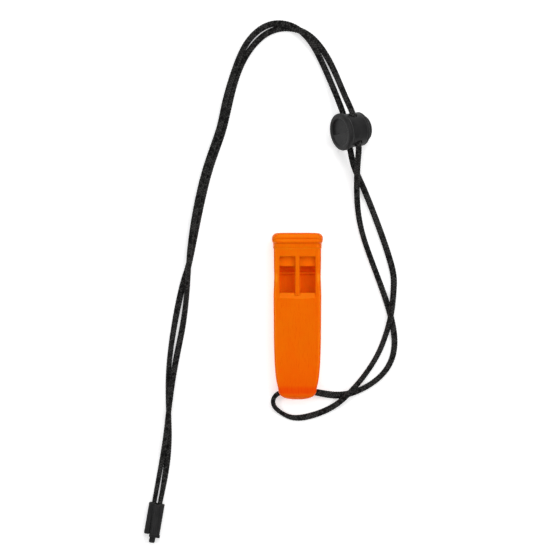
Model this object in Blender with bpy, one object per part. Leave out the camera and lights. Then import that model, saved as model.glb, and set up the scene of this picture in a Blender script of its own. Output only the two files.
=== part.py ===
"""Flat two-note safety whistle on a doubled neck cord.

The whistle lies on its back with its mouthpiece towards +Y. The cord goes through a cross hole in the
whistle's closed end, both of its runs pass through a push-button cord lock, and both ends are held in a
small flat clip. Sizes below are in millimetres; the model itself is in metres, +Z up, and its origin is
under the middle of the whistle.
"""

import math

import bmesh
import bpy
import numpy as np
from mathutils import Matrix, Vector

MM = 0.001
GAP = 0.3  # between pieces that touch on the real object

# Whistle body
END_Y = -35.0  # closed end, where the cord goes through
MOUTH_Y = 35.0  # tip of the mouthpiece
BODY_TOP_Y = 28.55  # open end of the body
BODY_HALF_WIDTH = 10.0
BODY_DEPTH = 9.5
EDGE_RADIUS = 2.2
WALL = 1.3
HALF_RIB = 0.9  # half the divider between the two chambers
CHAMBER_X = 7.9  # outer side of a chamber
CHAMBER_ENDS_Y = {-1: -9.7, 1: -18.1}  # the left chamber is shorter, so it sounds higher
WINDOW_X = 7.6
WINDOW_LOW_Y = 9.9
WINDOW_HIGH_Y = 25.0
RAMP_FOOT_Y = 7.4  # where the sloping edge under a window starts
RAMP_LIP_Z = 8.5
TAPER_Y = -26.0  # the front face dips from here to the closed end
TAPER_DROP = 1.2
NOSE_Y = -30.5  # the sides round off from here to the closed end
NOSE_HALF_WIDTH = 8.05
NOSE_POWER = 2.4
BORE_Y = -31.8
BORE_Z = 4.4
BORE_RADIUS = 1.8
FLARE_RADIUS = 2.7

# Mouthpiece
STEP_LOW_Y = BODY_TOP_Y + GAP
STEP_HIGH_Y = 30.4
STEP_HALF_WIDTH = 10.25
LIP_HALF_WIDTH = 10.75
LIP_DEPTH = 10.25
BLOCK_LOW_Y = 20.95
BLOCK_TOP_Z = 7.1
WINDWAY_TOP_Z = 8.2

# Cord
CORD_DIAMETER = 2.2
CORD_POINTS = 94
CORD_BEND_WEIGHT = 14.0  # how much closer the points lie in a bend

# Cord lock: its own axes are X along the cord, Y from the lower to the upper hole, Z along the plunger
LOCK_CENTRE = (22.5, 77.9, 9.3)
LOCK_TILT = math.radians(32.0)  # closed end up from the ground
LOCK_TURN = math.radians(11.0)  # and away from -X
LOCK_HOLE_OFFSET = 3.4
LOCK_HOLE_RADIUS = 1.75
LOCK_TRAVEL = 1.6
LOCK_FACE_Z = 5.8
LOCK_MOUTH_Z = -5.1
LOCK_FLANGE_RADIUS = 7.85
LOCK_BARREL_RADIUS = 7.15
LOCK_BORE_RADIUS = 5.8
LOCK_FLOOR_Z = 4.1
PLUNGER_RADIUS = 5.5
PLUNGER_TIP_Z = -7.7
PLUNGER_END_Z = 2.3
POCKET_RADIUS = 1.5
POCKET_FLOOR_Z = -4.4
SPRING_RADIUS = 1.05
SPRING_WIRE = 0.4
SPRING_TURNS = 9

# Cord-end clip: its own axes are X across, Y towards the cord, Z up
CLIP_CENTRE = (-60.2, -85.3, 0.0)
CLIP_TURN = math.radians(-9.85)
CLIP_HALF_WIDTH = 3.3
CLIP_HALF_LENGTH = 6.7
CLIP_DEPTH = 4.2
CLIP_CORD_X = 1.25
CLIP_CORD_Z = 2.0
CLIP_CORD_END_Y = -3.3


def lock_matrix():
    """The lock's own axes in the model's frame, in millimetres."""
    flat = Vector((-math.cos(LOCK_TURN), -math.sin(LOCK_TURN), 0))
    axis = flat * math.cos(LOCK_TILT) + Vector((0, 0, math.sin(LOCK_TILT)))
    along = Vector((math.sin(LOCK_TURN), -math.cos(LOCK_TURN), 0))
    across = axis.cross(along)
    turn = Matrix((along, across, axis)).transposed().to_4x4()
    return Matrix.Translation(LOCK_CENTRE) @ turn


def clip_matrix():
    return Matrix.Translation(CLIP_CENTRE) @ Matrix.Rotation(CLIP_TURN, 4, "Z")


# ---------------------------------------------------------------- building blocks


def clear_scene():
    for item in list(bpy.data.objects):
        bpy.data.objects.remove(item, do_unlink=True)


def plastic(name, colour, roughness):
    made = bpy.data.materials.new(name)
    made.use_nodes = True
    shader = made.node_tree.nodes["Principled BSDF"]
    shader.inputs["Base Color"].default_value = (*colour, 1)
    shader.inputs["Roughness"].default_value = roughness
    return made


def add_object(name, mesh, place=Matrix.Identity(4)):
    """An object from a bmesh in millimetres. place is its own frame, also in millimetres."""
    bmesh.ops.recalc_face_normals(mesh, faces=mesh.faces)
    mesh.transform(Matrix.Scale(MM, 4))
    data = bpy.data.meshes.new(name)
    mesh.to_mesh(data)
    mesh.free()
    made = bpy.data.objects.new(name, data)
    made.location = place.to_translation() * MM
    made.rotation_euler = place.to_euler()
    bpy.context.collection.objects.link(made)
    return made


def smooth(made, colour, angle=35):
    made.data.materials.append(colour)
    made.data.shade_smooth()
    made.data.set_sharp_from_angle(angle=math.radians(angle))


def helper(made):
    """Marks a cutter or an added shape, which isn't a piece of its own."""
    made.hide_render = True
    made.display_type = "WIRE"
    return made


def combine(target, operation, *others):
    for other in others:
        step = target.modifiers.new(f"{operation.lower()}_{other.name}", "BOOLEAN")
        step.operation = operation
        step.solver = "EXACT"
        step.object = helper(other)


def cut(target, *cutters):
    combine(target, "DIFFERENCE", *cutters)


def bridge(mesh, rings):
    """Skins a row of equally long rings and closes both ends."""
    for low, high in zip(rings, rings[1:]):
        for i in range(len(low)):
            j = (i + 1) % len(low)
            mesh.faces.new((low[i], low[j], high[j], high[i]))
    mesh.faces.new(rings[0])
    mesh.faces.new(rings[-1])


def loft(name, sections, place=Matrix.Identity(4)):
    """A closed skin over sections, each a list of points."""
    mesh = bmesh.new()
    rings = [[mesh.verts.new(point) for point in section] for section in sections]
    bridge(mesh, rings)
    return add_object(name, mesh, place)


def prism(name, outline, axis, low, high, place=Matrix.Identity(4)):
    """An outline of (u, v) points pushed along X, Y or Z. The outline's axes are the other two, in order."""
    spot = {
        "X": lambda u, v, w: (w, u, v),
        "Y": lambda u, v, w: (u, w, v),
        "Z": lambda u, v, w: (u, v, w),
    }[axis]
    return loft(name, [[spot(u, v, w) for u, v in outline] for w in (low, high)], place)


def box(name, low, high, place=Matrix.Identity(4)):
    outline = [(low[0], low[1]), (high[0], low[1]), (high[0], high[1]), (low[0], high[1])]
    return prism(name, outline, "Z", low[2], high[2], place)


def arc(centre, radius, start, end, steps):
    """Points on an arc, with its angles in degrees."""
    turns = [math.radians(start + (end - start) * i / steps) for i in range(steps + 1)]
    return [(centre[0] + radius * math.cos(t), centre[1] + radius * math.sin(t)) for t in turns]


def circle(centre, radius, steps=24):
    return arc(centre, radius, 0, 360 * (steps - 1) / steps, steps - 1)


def slot_outline(low, high, radius, steps=8):
    """A slot with round ends, longer along its second axis, between the centres low and high."""
    return arc(high, radius, 0, 180, steps) + arc(low, radius, 180, 360, steps)


def rounded_rectangle(low, high, radius, steps=4):
    """A rectangle with round corners, from its low and high corners."""
    corners = [
        ((high[0] - radius, high[1] - radius), 0),
        ((low[0] + radius, high[1] - radius), 90),
        ((low[0] + radius, low[1] + radius), 180),
        ((high[0] - radius, low[1] + radius), 270),
    ]
    return [p for centre, start in corners for p in arc(centre, radius, start, start + 90, steps)]


def turned(name, profile, steps, place):
    """Turns a profile of (radius, z) points about Z. It starts and ends on the axis."""
    mesh = bmesh.new()
    first = mesh.verts.new((0, 0, profile[0][1]))
    last = mesh.verts.new((0, 0, profile[-1][1]))
    rings = []
    for radius, z in profile[1:-1]:
        rings.append([mesh.verts.new((x, y, z)) for x, y in circle((0, 0), radius, steps)])
    for low, high in zip(rings, rings[1:]):
        for i in range(steps):
            j = (i + 1) % steps
            mesh.faces.new((low[i], low[j], high[j], high[i]))
    for i in range(steps):
        j = (i + 1) % steps
        mesh.faces.new((first, rings[0][i], rings[0][j]))
        mesh.faces.new((last, rings[-1][j], rings[-1][i]))
    return add_object(name, mesh, place)


def wire(name, points, radius, rounding):
    """A round tube along points in millimetres."""
    curve = bpy.data.curves.new(name, "CURVE")
    curve.dimensions = "3D"
    curve.bevel_depth = radius * MM
    curve.bevel_resolution = rounding
    curve.use_fill_caps = True
    line = curve.splines.new("POLY")
    line.points.add(len(points) - 1)
    for spot, point in zip(line.points, points):
        spot.co = (*(value * MM for value in point), 1)
    made = bpy.data.objects.new(name, curve)
    bpy.context.collection.objects.link(made)
    return made


# ---------------------------------------------------------------- whistle


def side_at(y):
    """Half of the body's width."""
    if y < NOSE_Y:
        reach = (NOSE_Y - y) / (NOSE_Y - END_Y)
        return NOSE_HALF_WIDTH * (1 - reach**NOSE_POWER) ** (1 / NOSE_POWER)
    stations = [(NOSE_Y, NOSE_HALF_WIDTH), (-27.6, 8.8), (-25.1, 9.15), (-20, 9.6), (-10, 9.92)]
    stations += [(9, 10.06), (12, 9.97), (16.5, 9.78), (21, 9.92), (BODY_TOP_Y, 9.95)]
    return float(np.interp(y, *zip(*stations)))


def body_section(y):
    """The body's outline across, with its edges rounded."""
    dip = min(1, max(0, (TAPER_Y - y) / (TAPER_Y - END_Y)))
    front = BODY_DEPTH - TAPER_DROP * dip * dip
    back = 0.0
    round_y = END_Y + EDGE_RADIUS
    if y < round_y:
        inset = EDGE_RADIUS - math.sqrt(max(0, EDGE_RADIUS**2 - (round_y - y) ** 2))
        front, back = front - inset, back + inset
    half = max(side_at(y), 2.4)
    radius = min(EDGE_RADIUS, half * 0.9, (front - back) * 0.45)
    outline = rounded_rectangle((-half, back), (half, front), radius)
    return [(x, y, z) for x, z in outline]


def whistle_body(orange):
    nose = [END_Y + (NOSE_Y - END_Y) * (1 - math.cos(math.pi / 2 * i / 9)) for i in range(10)]
    straight = [-29, -27.6, -26, -25.1, -22.5, -20, -15, -10, 0, 9, 12, 14, 16.5, 19, 21, 25, BODY_TOP_Y]
    body = loft("whistle_body", [body_section(y) for y in nose + straight])
    above = BODY_DEPTH + 2
    for side, name in ((-1, "left"), (1, "right")):
        low_x, high_x = sorted((side * HALF_RIB, side * CHAMBER_X))
        low = (low_x, CHAMBER_ENDS_Y[side], WALL)
        chamber = box(f"{name}_chamber_space", low, (high_x, BODY_TOP_Y + 2, WINDWAY_TOP_Z))
        low_x, high_x = sorted((side * HALF_RIB, side * WINDOW_X))
        window_low = (low_x, WINDOW_LOW_Y, WINDWAY_TOP_Z - 1)
        window = box(f"{name}_window_space", window_low, (high_x, WINDOW_HIGH_Y, above))
        slope = [(RAMP_FOOT_Y, BODY_DEPTH), (WINDOW_LOW_Y + 0.2, RAMP_LIP_Z)]
        slope += [(WINDOW_LOW_Y + 0.2, above), (RAMP_FOOT_Y, above)]
        ramp = prism(f"{name}_ramp_space", slope, "X", low_x, high_x)
        cut(body, chamber, window, ramp)
    half_way = (RAMP_FOOT_Y + WINDOW_LOW_Y) / 2
    notch = [(RAMP_FOOT_Y, BODY_DEPTH), (half_way, (BODY_DEPTH + RAMP_LIP_Z) / 2)]
    notch += [(half_way, above), (RAMP_FOOT_Y, above)]
    cut(body, prism("rib_notch_space", notch, "X", -HALF_RIB - 0.1, HALF_RIB + 0.1))
    # the cord hole flares towards both sides, so that the cord bends gently and the whistle can swing
    flare = [(-12, FLARE_RADIUS), (-8.4, FLARE_RADIUS), (-5.2, BORE_RADIUS)]
    flare += [(-x, radius) for x, radius in flare[::-1]]
    rings = [[(x, y, z) for y, z in circle((BORE_Y, BORE_Z), radius)] for x, radius in flare]
    cut(body, loft("cord_hole_space", rings))
    smooth(body, orange)


def mouthpiece(orange):
    step = LIP_HALF_WIDTH - STEP_HALF_WIDTH
    # (y, how far in from the lip's widest at the sides, and at the front) from the tip down to the step
    lip = [(MOUTH_Y, 2.3, 1.0), (34.75, 1.4, 0.55), (34.3, 0.75, 0.2), (33.6, 0.2, 0.0), (33.0, 0.0, 0.0)]
    lip += [(31.9, 0.0, 0.0), (31.2, 0.2, 0.2), (STEP_HIGH_Y, step, step)]
    lip += [(STEP_LOW_Y + 0.25, step, step), (STEP_LOW_Y, step + 0.2, step + 0.2)]
    sections = []
    for y, side_inset, front_inset in lip:
        half = LIP_HALF_WIDTH - side_inset
        back = max(0, front_inset - step)
        outline = rounded_rectangle((-half, back), (half, LIP_DEPTH - front_inset), EDGE_RADIUS + 0.3)
        sections.append([(x, y, z) for x, z in outline])
    piece = loft("mouthpiece", sections)
    for side, name in ((-1, "left"), (1, "right")):
        low_x, high_x = sorted((side * (HALF_RIB + GAP), side * (CHAMBER_X - GAP)))
        block_low = (low_x, BLOCK_LOW_Y, WALL + GAP)
        block = box(f"{name}_block", block_low, (high_x, STEP_HIGH_Y, BLOCK_TOP_Z))
        combine(piece, "UNION", block)
    for side, name in ((-1, "left"), (1, "right")):
        low_x, high_x = sorted((side * (HALF_RIB + GAP), side * (CHAMBER_X - GAP)))
        slot_low = (low_x, STEP_LOW_Y - 2, BLOCK_TOP_Z)
        cut(piece, box(f"{name}_windway_space", slot_low, (high_x, MOUTH_Y + 2, WINDWAY_TOP_Z)))
    funnel = [(MOUTH_Y + 1, 9.2), (MOUTH_Y - 2.6, WINDWAY_TOP_Z), (MOUTH_Y - 2.6, BLOCK_TOP_Z)]
    funnel += [(MOUTH_Y + 1, 6.1)]
    cut(piece, prism("mouth_funnel_space", funnel, "X", -CHAMBER_X + GAP, CHAMBER_X - GAP))
    smooth(piece, orange)


# ---------------------------------------------------------------- cord


def lock_pass(side, direction):
    """The cord's straight stretch through a hole of the lock. direction is 1 away from the arc."""
    place = lock_matrix()
    return [
        tuple(place @ Vector((direction * along, side * LOCK_HOLE_OFFSET, 0)))
        for along in (-7.0, -3.5, 3.5, 7.0)
    ]


def clip_pass(side):
    """A cord end in the clip, from inside to the clip's mouth."""
    place = clip_matrix()
    ends = (CLIP_CORD_END_Y, CLIP_HALF_LENGTH)
    return [tuple(place @ Vector((side * CLIP_CORD_X, y, CLIP_CORD_Z))) for y in ends]


def cord_route():
    """The cord's own points. It runs from the clip over the arc and through the lock's lower hole to the
    whistle, goes through the whistle from left to right, and comes back through the upper hole. Z is
    the radius where it lies on the ground and about a diameter more where it crosses its other run."""
    out = clip_pass(-1)
    out += [(-58.9, -70.8, 1.2), (-55.5, -51.0, 3.4), (-52.8, -29.1, 3.3), (-50.2, -13.9, 1.1)]
    out += [(-48.1, -3.0, 1.1), (-46.1, 14.8, 3.4), (-45.1, 29.5, 3.5), (-39.2, 59.9, 2.9)]
    out += [(-32.9, 79.1, 3.0), (-30.7, 89.2, 3.1), (-26.1, 104.6, 3.2), (-19.7, 117.1, 1.2)]
    out += [(-10.7, 123.0, 1.6), (-1.4, 121.6, 3.9), (4.9, 116.3, 3.5), (11.5, 104.4, 2.0)]
    out += lock_pass(-1, 1)
    out += [(23.7, 63.3, 4.6), (27.4, 54.9, 2.0), (39.7, 21.1, 1.1), (40.6, 11.8, 1.4)]
    out += [(39.4, 0.7, 3.9), (36.9, -8.9, 1.4), (33.5, -16.9, 1.1), (27.5, -26.0, 1.5)]
    out += [(21.7, -32.5, 3.9), (14.0, -38.7, 1.3), (-0.1, -42.9, 1.1), (-6.0, -41.2, 1.2)]
    out += [(-9.4, -38.4, 2.1), (-10.2, -35.6, 3.2), (-8.8, -33.1, 4.1), (-5.8, BORE_Y, BORE_Z)]
    back = [(-2.0, BORE_Y, BORE_Z), (5.0, BORE_Y, BORE_Z), (8.4, -32.1, BORE_Z - 0.1), (16.7, -33.3, 1.5)]
    back += [(27.3, -30.7, 1.1), (37.4, -22.6, 1.1), (40.9, -9.3, 1.1), (34.1, 15.8, 1.1)]
    back += [(27.1, 36.1, 1.1), (25.1, 50.6, 2.6), (25.3, 64.5, 9.2)]
    back += lock_pass(1, -1)
    back += [(19.9, 92.4, 9.3), (13.9, 106.5, 2.9), (6.0, 117.4, 1.1), (-2.2, 121.1, 1.1)]
    back += [(-12.4, 119.3, 1.1), (-24.1, 104.6, 1.1), (-31.0, 79.1, 1.1), (-37.4, 59.5, 1.1)]
    back += [(-45.7, 21.9, 1.1), (-47.8, 14.8, 1.1), (-54.1, -21.5, 1.1), (-54.1, -51.0, 1.1)]
    back += [(-56.3, -70.8, 1.2)] + clip_pass(1)[::-1]
    return out + back


def smooth_curve(points, count):
    """A natural cubic spline through points, read at count places."""
    points = np.array(points, float)
    steps = np.linalg.norm(np.diff(points, axis=0), axis=1) ** 0.5
    knots = np.concatenate(([0], np.cumsum(steps)))
    size = len(points)
    matrix = np.eye(size)
    right = np.zeros((size, 3))
    for i in range(1, size - 1):
        matrix[i, i - 1 : i + 2] = steps[i - 1], 2 * (steps[i - 1] + steps[i]), steps[i]
        before = (points[i] - points[i - 1]) / steps[i - 1]
        after = (points[i + 1] - points[i]) / steps[i]
        right[i] = 6 * (after - before)
    bends = np.linalg.solve(matrix, right)
    places = np.linspace(0, knots[-1], count)
    i = np.clip(np.searchsorted(knots, places, side="right") - 1, 0, size - 2)
    width = steps[i][:, None]
    left = (knots[i + 1] - places)[:, None] / width
    rest = 1 - left
    curved = ((left**3 - left) * bends[i] + (rest**3 - rest) * bends[i + 1]) * width**2 / 6
    return left * points[i] + rest * points[i + 1] + curved


def closer_in_bends(line, count):
    """Points along a fine line, spaced more closely where it bends."""
    step = np.linalg.norm(np.diff(line, axis=0), axis=1)
    run = np.concatenate(([0], np.cumsum(step)))
    heading = np.gradient(line, run, axis=0)
    heading /= np.linalg.norm(heading, axis=1)[:, None]
    bend = np.linalg.norm(np.gradient(heading, run, axis=0), axis=1)
    weight = 1 + CORD_BEND_WEIGHT * bend
    share = np.concatenate(([0], np.cumsum((weight[1:] + weight[:-1]) / 2 * step)))
    wanted = np.linspace(0, share[-1], count)
    return [tuple(np.interp(w, share, line[:, k]) for k in range(3)) for w in wanted]


def lanyard_cord(black):
    line = smooth_curve(cord_route(), 4000)
    line[:, 2] = np.maximum(line[:, 2], CORD_DIAMETER / 2)
    cord = wire("lanyard_cord", closer_in_bends(line, CORD_POINTS), CORD_DIAMETER / 2, 2)
    cord.data.materials.append(black)


# ---------------------------------------------------------------- cord lock


def lock_housing(dark):
    place = lock_matrix()
    flange, barrel = LOCK_FLANGE_RADIUS, LOCK_BARREL_RADIUS
    profile = [(0, LOCK_FACE_Z - 0.3), (5.9, LOCK_FACE_Z - 0.3), (6.15, LOCK_FACE_Z)]
    profile += [(r, z) for r, z in arc((flange - 0.7, LOCK_FACE_Z - 0.7), 0.7, 90, 0, 4)]
    profile += [(flange, 4.1), (flange - 0.2, 3.8), (barrel, 3.5)]
    profile += [(barrel, LOCK_MOUTH_Z + 0.5), (barrel - 0.5, LOCK_MOUTH_Z)]
    profile += [(LOCK_BORE_RADIUS, LOCK_MOUTH_Z), (LOCK_BORE_RADIUS, LOCK_FLOOR_Z), (0, LOCK_FLOOR_Z)]
    housing = turned("cord_lock_housing", profile, 48, place)
    for side, name in ((-1, "lower"), (1, "upper")):
        ring = circle((side * LOCK_HOLE_OFFSET, 0), LOCK_HOLE_RADIUS, 20)
        cut(housing, prism(f"{name}_lock_hole_space", ring, "X", -12, 12, place))
    sunk = [spot for spot in circle((0, 0), 5.8) if spot[0] < 0.6]
    cut(housing, prism("lock_face_step_space", sunk, "Z", LOCK_FACE_Z - 1.0, LOCK_FACE_Z + 1, place))
    smooth(housing, dark)


def lock_plunger(dark):
    """Its holes are longer than the cord is thick by the travel, and the spring stands between them."""
    place = lock_matrix()
    edge = 1.2
    profile = [(0, PLUNGER_TIP_Z), (2.8, PLUNGER_TIP_Z + 0.1)]
    profile += arc((PLUNGER_RADIUS - edge, PLUNGER_TIP_Z + edge + 0.25), edge, -75, 0, 4)
    profile += [(PLUNGER_RADIUS, PLUNGER_END_Z - 0.4), (PLUNGER_RADIUS - 0.4, PLUNGER_END_Z)]
    profile += [(POCKET_RADIUS, PLUNGER_END_Z), (POCKET_RADIUS, POCKET_FLOOR_Z), (0, POCKET_FLOOR_Z)]
    plunger = turned("cord_lock_plunger", profile, 40, place)
    width = CORD_DIAMETER / 2 + GAP
    for side, name in ((-1, "lower"), (1, "upper")):
        y = side * LOCK_HOLE_OFFSET
        outline = slot_outline((y, -LOCK_TRAVEL), (y, 0), width)
        cut(plunger, prism(f"{name}_plunger_hole_space", outline, "X", -12, 12, place))
    smooth(plunger, dark)


def lock_spring(steel):
    low = POCKET_FLOOR_Z + GAP + SPRING_WIRE / 2
    high = LOCK_FLOOR_Z - GAP - SPRING_WIRE / 2
    count = SPRING_TURNS * 10
    place = lock_matrix()
    points = []
    for i in range(count + 1):
        turn = 2 * math.pi * SPRING_TURNS * i / count
        x, y = SPRING_RADIUS * math.cos(turn), SPRING_RADIUS * math.sin(turn)
        points.append(place @ Vector((x, y, low + (high - low) * i / count)))
    spring = wire("cord_lock_spring", points, SPRING_WIRE / 2, 1)
    spring.data.materials.append(steel)


# ---------------------------------------------------------------- cord-end clip


def clip_sleeve(dark):
    """A flat sleeve with a raised half-round rib over the wedge's channel."""
    place = clip_matrix()
    half, length = CLIP_HALF_WIDTH, CLIP_HALF_LENGTH
    shell = []
    for y, inset in ((-length, 0.25), (-length + 0.25, 0), (length - 0.25, 0), (length, 0.25)):
        outline = rounded_rectangle((-half + inset, inset), (half - inset, CLIP_DEPTH - inset), 0.7)
        shell.append([(x, y, z) for x, z in outline])
    sleeve = loft("cord_end_sleeve", shell, place)
    rib = []
    for y, left, right in ((-length + 0.1, -1.4, 2.5), (1.5, -1.6, 1.8), (length - 0.5, -1.65, 1.65)):
        middle, reach = (left + right) / 2, (right - left) / 2
        arch = [(middle + reach * x, y, 3.4 + 2.0 * z) for x, z in arc((0, 0), 1, 0, 180, 12)]
        rib.append(arch)
    combine(sleeve, "UNION", loft("clip_rib", rib, place))
    radius = CORD_DIAMETER / 2 + GAP
    low = (-CLIP_CORD_X - radius, CLIP_CORD_Z - radius)
    high = (CLIP_CORD_X + radius, CLIP_CORD_Z + radius)
    cords = rounded_rectangle(low, high, radius * 0.98)
    cut(sleeve, prism("clip_cord_space", cords, "Y", -9, 9, place))
    channel = [(-1.2, 2.5), (1.2, 2.5), (1.2, 4.75), (-1.2, 4.75)]
    cut(sleeve, prism("clip_channel_space", channel, "Y", -9, 9, place))
    smooth(sleeve, dark)


def clip_wedge(dark):
    """A tapered tongue in the channel, thicker towards the free end, where its head and tab show."""
    place = clip_matrix()
    outer = -CLIP_HALF_LENGTH - GAP
    tip, tail = CLIP_HALF_LENGTH - 2.2, outer - 0.8
    profile = [(tip, 3.85), (tip, 4.25), (outer + 1, 4.45), (tail, 4.45), (tail, 3.5), (outer + 1, 3.5)]
    wedge = prism("cord_end_wedge", profile, "X", -0.9, 0.9, place)
    head = rounded_rectangle((-1.0, 0.8), (3.1, 4.9), 0.5)
    tab = rounded_rectangle((-0.65, tail - 2.5), (1.85, outer - 0.3), 0.6)
    combine(wedge, "UNION", prism("wedge_head", head, "Y", tail, outer, place))
    combine(wedge, "UNION", prism("wedge_tab", tab, "Z", 1.6, 3.4, place))
    smooth(wedge, dark)


def build():
    clear_scene()
    orange = plastic("orange_plastic", (0.82, 0.13, 0.003), 0.35)
    black = plastic("black_braid", (0.012, 0.012, 0.012), 0.8)
    dark = plastic("black_plastic", (0.03, 0.03, 0.032), 0.5)
    steel = plastic("spring_steel", (0.55, 0.55, 0.56), 0.3)
    steel.node_tree.nodes["Principled BSDF"].inputs["Metallic"].default_value = 1.0
    whistle_body(orange)
    mouthpiece(orange)
    lanyard_cord(black)
    lock_housing(dark)
    lock_plunger(dark)
    lock_spring(steel)
    clip_sleeve(dark)
    clip_wedge(dark)


build()
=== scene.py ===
"""Looks for the flat safety whistle on a doubled neck cord.

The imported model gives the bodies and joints. Finely moulded pieces and a braided cord stand for its plain
solids here, in the same places. Their outer sizes agree, and some details differ: the edges' radii, the
waist's facets and the sill under the windows are drawn only here. Sizes below are in millimetres; the model
is in metres. The orange's paler and redder places are fitted to one photograph's shading.
"""

import math

import bmesh
import bpy
import numpy as np
from mathutils import Matrix, Vector


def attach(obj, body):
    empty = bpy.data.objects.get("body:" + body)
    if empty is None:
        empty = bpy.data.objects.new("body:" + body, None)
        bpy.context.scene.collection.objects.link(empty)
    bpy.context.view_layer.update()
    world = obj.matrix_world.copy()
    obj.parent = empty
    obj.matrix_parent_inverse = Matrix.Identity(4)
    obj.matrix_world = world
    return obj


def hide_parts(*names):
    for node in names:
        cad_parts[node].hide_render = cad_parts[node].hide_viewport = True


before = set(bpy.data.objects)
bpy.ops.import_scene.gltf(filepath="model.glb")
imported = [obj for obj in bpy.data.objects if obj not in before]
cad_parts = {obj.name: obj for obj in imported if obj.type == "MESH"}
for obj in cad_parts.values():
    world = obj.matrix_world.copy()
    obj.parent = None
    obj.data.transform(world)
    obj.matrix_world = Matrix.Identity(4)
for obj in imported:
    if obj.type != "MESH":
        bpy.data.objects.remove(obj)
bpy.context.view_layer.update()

MM = 0.001
GAP = 0.3

# Whistle body
END_Y = -35.0
MOUTH_Y = 35.0
BODY_TOP_Y = 28.55
BODY_DEPTH = 9.5
EDGE_RADIUS = 1.2
END_RADIUS = 2.2
WALL = 1.3
SILL = 0.45  # a low bar across the floor of both chambers, under the windows
HALF_RIB = 0.9
CHAMBER_X = 7.9
CHAMBER_ENDS_Y = {-1: -9.7, 1: -18.1}
WINDOW_X = 7.6
WINDOW_LOW_Y = 9.9
WINDOW_HIGH_Y = 25.0
RAMP_FOOT_Y = 7.4
RAMP_LIP_Z = 8.5
TAPER_Y = -26.0
TAPER_DROP = 1.2
NOSE_Y = -30.5
NOSE_HALF_WIDTH = 8.05
NOSE_POWER = 2.6
BORE_Y = -31.8
BORE_Z = 4.4
BORE_RADIUS = 1.8
FLARE_RADIUS = 2.7
WAIST_Y = 16.2  # the front's edges have a shallow sloping facet here, for the fingers
WAIST_REACH = 2.3
WAIST_FACET_X = 8.3
WAIST_FACET_SLOPE = 0.36
WAIST_TIGHTENING = 0.7
WAIST_HIGHLIGHT_Y = 16  # paler patches painted on the waist's two edges: a painted highlight
HOLE_SHADE_Y = -31.2  # a redder band of painted shade over the cord's hole
CORNER_STEPS = 8  # in each round corner of a section
RIDGE_FALL = 0.16  # from the front face's middle line out to its sides

# Mouthpiece
STEP_LOW_Y = BODY_TOP_Y + GAP
STEP_HIGH_Y = 30.4
LIP_HALF_WIDTH = 10.75
LIP_DEPTH = 10.25
LIP_CORNER = 2.4
BLOCK_LOW_Y = 20.95
BLOCK_TOP_Z = 7.1
FIT = -0.15  # the blocks are pressed into the body's walls by this much
WINDWAY_TOP_Z = 8.2

# Cord
CORD_DIAMETER = 2.2
CORD_RING_STEP = 0.3
CORD_CURVE_POINTS = 8000  # places at which the route's spline is read
CORD_SIDES = 24
BRAID_CELLS = 4  # round the cord, for each direction of the strands
BRAID_PITCH = 1.15
BRAID_HEIGHT = 0.16
LEFT_LOOP = (-9.4, -38.4, 2.1)  # the cord turns on edge here, where it bends into the whistle
RIGHT_MOUTH = (14.0, -33.0, 2.5)  # the cord is pressed flat here, where it leaves the whistle

# Cord lock: its own axes are X along the cord, Y from the lower to the upper hole, Z along the plunger
LOCK_CENTRE = (22.5, 77.9, 9.3)
LOCK_TILT = math.radians(32.0)
LOCK_TURN = math.radians(11.0)
LOCK_HOLE_OFFSET = 3.4
LOCK_HOLE_RADIUS = 1.75
LOCK_TRAVEL = 1.6
LOCK_FACE_Z = 5.8
LOCK_MOUTH_Z = -5.1
LOCK_FLANGE_RADIUS = 7.85
LOCK_BARREL_RADIUS = 7.15
LOCK_BORE_RADIUS = 5.8
LOCK_FLOOR_Z = 4.1
PLUNGER_RADIUS = 5.5
PLUNGER_TIP_Z = -7.7
PLUNGER_END_Z = 2.3
POCKET_RADIUS = 1.5
POCKET_FLOOR_Z = -4.4

# Cord-end clip: its own axes are X across, Y towards the cord, Z up
CLIP_CENTRE = (-60.2, -85.3, 0.0)
CLIP_TURN = math.radians(-9.85)
CLIP_HALF_WIDTH = 3.3
CLIP_HALF_LENGTH = 6.7
CLIP_DEPTH = 4.2
CLIP_CORD_X = 1.25
CLIP_CORD_Z = 2.0
CLIP_CORD_END_Y = -3.3

# Camera: straight above, so far off that the view is almost parallel
CAMERA_X = -9.19
CAMERA_Y = 17.08
CAMERA_HEIGHT = 1500.0
VIEW_WIDTH = 232.36
SENSOR_WIDTH = 36.0


def lock_matrix():
    """The lock's own axes in the model's frame, in millimetres."""
    flat = Vector((-math.cos(LOCK_TURN), -math.sin(LOCK_TURN), 0))
    axis = flat * math.cos(LOCK_TILT) + Vector((0, 0, math.sin(LOCK_TILT)))
    along = Vector((math.sin(LOCK_TURN), -math.cos(LOCK_TURN), 0))
    across = axis.cross(along)
    turn = Matrix((along, across, axis)).transposed().to_4x4()
    return Matrix.Translation(LOCK_CENTRE) @ turn


def clip_matrix():
    return Matrix.Translation(CLIP_CENTRE) @ Matrix.Rotation(CLIP_TURN, 4, "Z")


# ---------------------------------------------------------------- camera


def add_camera():
    data = bpy.data.cameras.new("camera")
    data.sensor_width = SENSOR_WIDTH
    data.lens = SENSOR_WIDTH * CAMERA_HEIGHT / VIEW_WIDTH
    data.clip_end = 20
    camera = bpy.data.objects.new("camera", data)
    camera.location = (CAMERA_X * MM, CAMERA_Y * MM, CAMERA_HEIGHT * MM)
    bpy.context.collection.objects.link(camera)
    bpy.context.scene.camera = camera


# ---------------------------------------------------------------- materials


def node(tree, kind, inputs=(), **settings):
    """A new node. An input that is given a socket is linked to it, and any other value is set on it."""
    made = tree.nodes.new(kind)
    for name, value in settings.items():
        setattr(made, name, value)
    for name, value in dict(inputs).items():
        if isinstance(value, bpy.types.NodeSocket):
            tree.links.new(value, made.inputs[name])
        else:
            made.inputs[name].default_value = value
    return made


def maths(tree, operation, first, second=0.0):
    return node(tree, "ShaderNodeMath", {0: first, 1: second}, operation=operation).outputs[0]


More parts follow.
